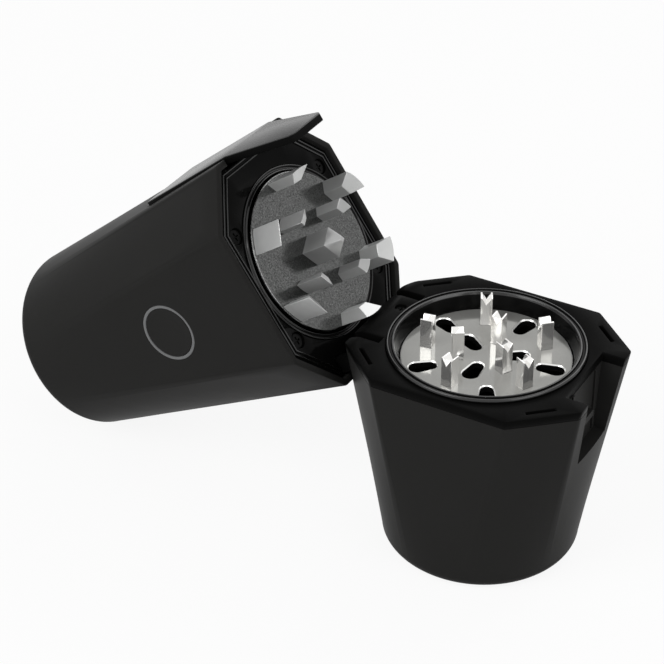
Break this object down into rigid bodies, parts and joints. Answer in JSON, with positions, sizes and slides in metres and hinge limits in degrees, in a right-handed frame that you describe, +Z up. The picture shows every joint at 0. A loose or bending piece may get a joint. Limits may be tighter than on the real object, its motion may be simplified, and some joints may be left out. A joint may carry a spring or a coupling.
{
  "type": "electric herb grinder",
  "caption": "Hinged electric herb grinder: tapered cup with a pinned grinding plate, and a motor housing with a toothed spinning cutter, a side button and a latch lever.",
  "frame": {"origin": "centre of the foot pad's underside, on the table", "axes": "+X from the hinge to the latch side of the cup, +Y away from the button, +Z up; the housing lies open towards -X"},
  "size_m": [0.1828, 0.0584, 0.1151],
  "materials": {
    "shell_black": "satin moulded black",
    "lever_black": "semi-gloss moulded black",
    "gloss_black": "gloss moulded black",
    "polished_plate": "polished",
    "polished_pins": "polished",
    "cutter_metal": "fine ground, dark",
    "tooth_metal": "polished",
    "soft_black": "matt",
    "button_black": "satin",
    "ring_pale": "translucent pale grey",
    "steel": "plain",
    "screw_black": "black oxide",
    "nylon": "natural",
    "bronze": "plain",
    "board_green": "lacquered",
    "switch_black": "moulded",
    "cell_wrap": "plain film wrap"
  },
  "bodies": {
    "cup": {"cup_shell": "shell_black", "rim_cap": "shell_black", "collar": "gloss_black", "collar_seal": "soft_black", "grind_plate": "polished_plate", "grind_pins": "polished_pins", "hinge_pin": "steel", "hinge_screw": "screw_black", "foot_pad": "soft_black"},
    "lid": {"motor_housing": "shell_black", "face_plate": "gloss_black", "guard_ring": "gloss_black", "cutter_well": "shell_black", "hinge_arm": "shell_black", "face_screws": "screw_black", "arm_screws": "screw_black", "latch_pin": "steel", "gearbox_case": "nylon", "ring_gear": "nylon", "output_bush": "bronze", "motor_plate": "steel", "motor_can": "steel", "battery_cradle": "nylon", "battery_cell": "cell_wrap", "control_board": "board_green", "board_screws": "steel", "tact_switch": "switch_black", "light_ring": "ring_pale", "charging_socket": "steel"},
    "hub": {"output_hub": "nylon", "planet_pins": "steel", "spindle_spring": "steel"},
    "cutter": {"cutter_disc": "cutter_metal", "cutter_teeth": "tooth_metal", "spindle": "steel"},
    "planet_1": {"planet_gear_1": "nylon"},
    "planet_2": {"planet_gear_2": "nylon"},
    "planet_3": {"planet_gear_3": "nylon"},
    "sun": {"sun_pinion": "bronze", "motor_shaft": "steel"},
    "button": {"button_cap": "button_black", "switch_plunger": "nylon"},
    "lever": {"latch_lever": "lever_black"}
  },
  "joints": [
    {"name": "lid_hinge", "type": "hinge", "parent": "cup", "child": "lid", "pos_m": [-0.0303, 0, 0.0553], "axis": [0, 1, 0], "range_deg": [0, 124.45]},
    {"name": "hub_spin", "type": "hinge", "parent": "lid", "child": "hub", "pos_m": [-0.05379, 0, 0.07593], "axis": [-0.8247, 0, -0.5656], "continuous": true},
    {"name": "cutter_slide", "type": "slide", "parent": "hub", "child": "cutter", "axis": [-0.8247, 0, -0.5656], "range_m": [0, 0.012], "deforming": ["spindle_spring"]},
    {"name": "sun_spin", "type": "hinge", "parent": "lid", "child": "sun", "pos_m": [-0.08513, 0, 0.05444], "axis": [-0.8247, 0, -0.5656], "continuous": true},
    {"name": "button_press", "type": "slide", "parent": "lid", "child": "button", "axis": [0, 1, 0], "range_m": [0, 0.0008], "stiffness_N_per_m": 400},
    {"name": "latch_pivot", "type": "hinge", "parent": "lid", "child": "lever", "pos_m": [-0.07749, 0, 0.09634], "axis": [0, 1, 0], "range_deg": [-4, 2.5], "stiffness_Nm_per_rad": 0.05},
    {"name": "planet_1_spin", "type": "hinge", "parent": "hub", "child": "planet_1", "pos_m": [-0.08513, 0.009, 0.05444], "axis": [-0.8247, 0, -0.5656], "continuous": true},
    {"name": "planet_2_spin", "type": "hinge", "parent": "hub", "child": "planet_2", "pos_m": [-0.08072, -0.0045, 0.04801], "axis": [-0.8247, 0, -0.5656], "continuous": true},
    {"name": "planet_3_spin", "type": "hinge", "parent": "hub", "child": "planet_3", "pos_m": [-0.08953, -0.0045, 0.06086], "axis": [-0.8247, 0, -0.5656], "continuous": true}
  ],
  "couplings": [
    {"joint": "cutter_slide", "follows": "lid_hinge", "m_per_rad": 0.0055248},
    {"joint": "sun_spin", "follows": "hub_spin", "ratio": 5},
    {"joint": "planet_1_spin", "follows": "hub_spin", "ratio": -2.6667},
    {"joint": "planet_2_spin", "follows": "hub_spin", "ratio": -2.6667},
    {"joint": "planet_3_spin", "follows": "hub_spin", "ratio": -2.6667}
  ]
}
